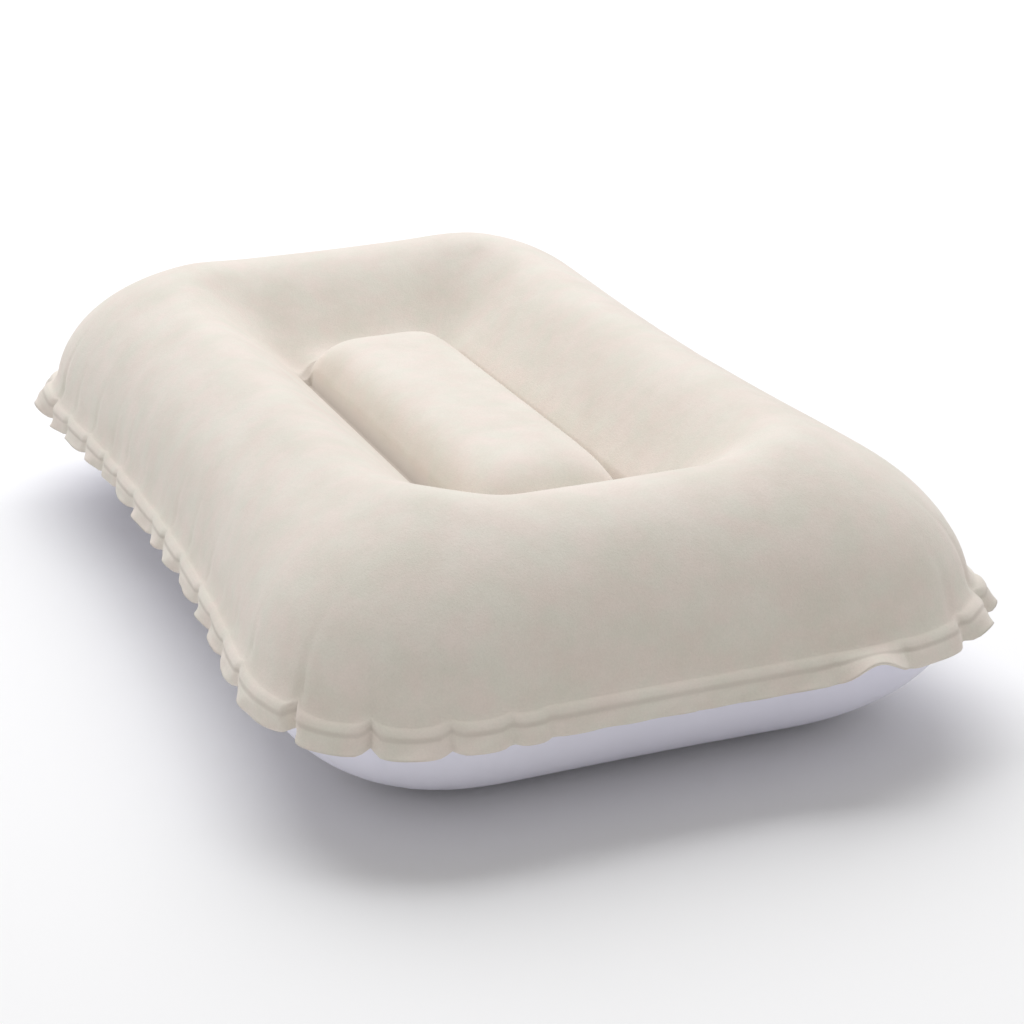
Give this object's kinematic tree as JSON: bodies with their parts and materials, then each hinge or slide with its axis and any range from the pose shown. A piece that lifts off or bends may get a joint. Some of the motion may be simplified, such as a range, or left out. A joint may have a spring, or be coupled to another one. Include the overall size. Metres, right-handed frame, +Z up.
{
  "type": "inflatable camp pillow",
  "caption": "Inflatable camp pillow: flocked top with a sunken head hollow, smooth underside, inner beams, wavy weld flange and a push-in air valve with a stopper on a strap.",
  "frame": {"origin": "on the ground, under the middle of the pillow", "axes": "+X along the length, away from the valve's end; +Y across the width; +Z up, out of the flocked side"},
  "size_m": [0.4194, 0.2548, 0.0922],
  "materials": {
    "flocked_sheet": "short velvety flock on vinyl",
    "smooth_sheet": "smooth semi-gloss vinyl sheet",
    "beam_sheet": "plain vinyl sheet",
    "valve_vinyl": "soft moulded vinyl",
    "flap_vinyl": "thin soft vinyl"
  },
  "bodies": {
    "pillow": {"top_sheet": "flocked_sheet", "bottom_sheet": "smooth_sheet", "beam_left": "beam_sheet", "beam_right": "beam_sheet", "valve_base": "valve_vinyl"},
    "stem": {"valve_stem": "valve_vinyl"},
    "flap": {"check_flap": "flap_vinyl"},
    "stopper": {"stopper": "valve_vinyl", "stopper_strap": "valve_vinyl"}
  },
  "joints": [
    {"name": "stem_pull", "type": "slide", "parent": "pillow", "child": "stem", "axis": [-0.8295, 0, -0.5586], "range_m": [0, 0.01]},
    {"name": "stopper_swing", "type": "hinge", "parent": "stem", "child": "stopper", "pos_m": [-0.18968, 0.0074, 0.02189], "axis": [0.5586, 0, -0.8295], "range_deg": [0, 115]},
    {"name": "flap_open", "type": "hinge", "parent": "stem", "child": "flap", "pos_m": [-0.1766, -0.00452, 0.0307], "axis": [0.5586, 0, -0.8295], "range_deg": [0, 45], "stiffness_Nm_per_rad": 0.0001}
  ]
}
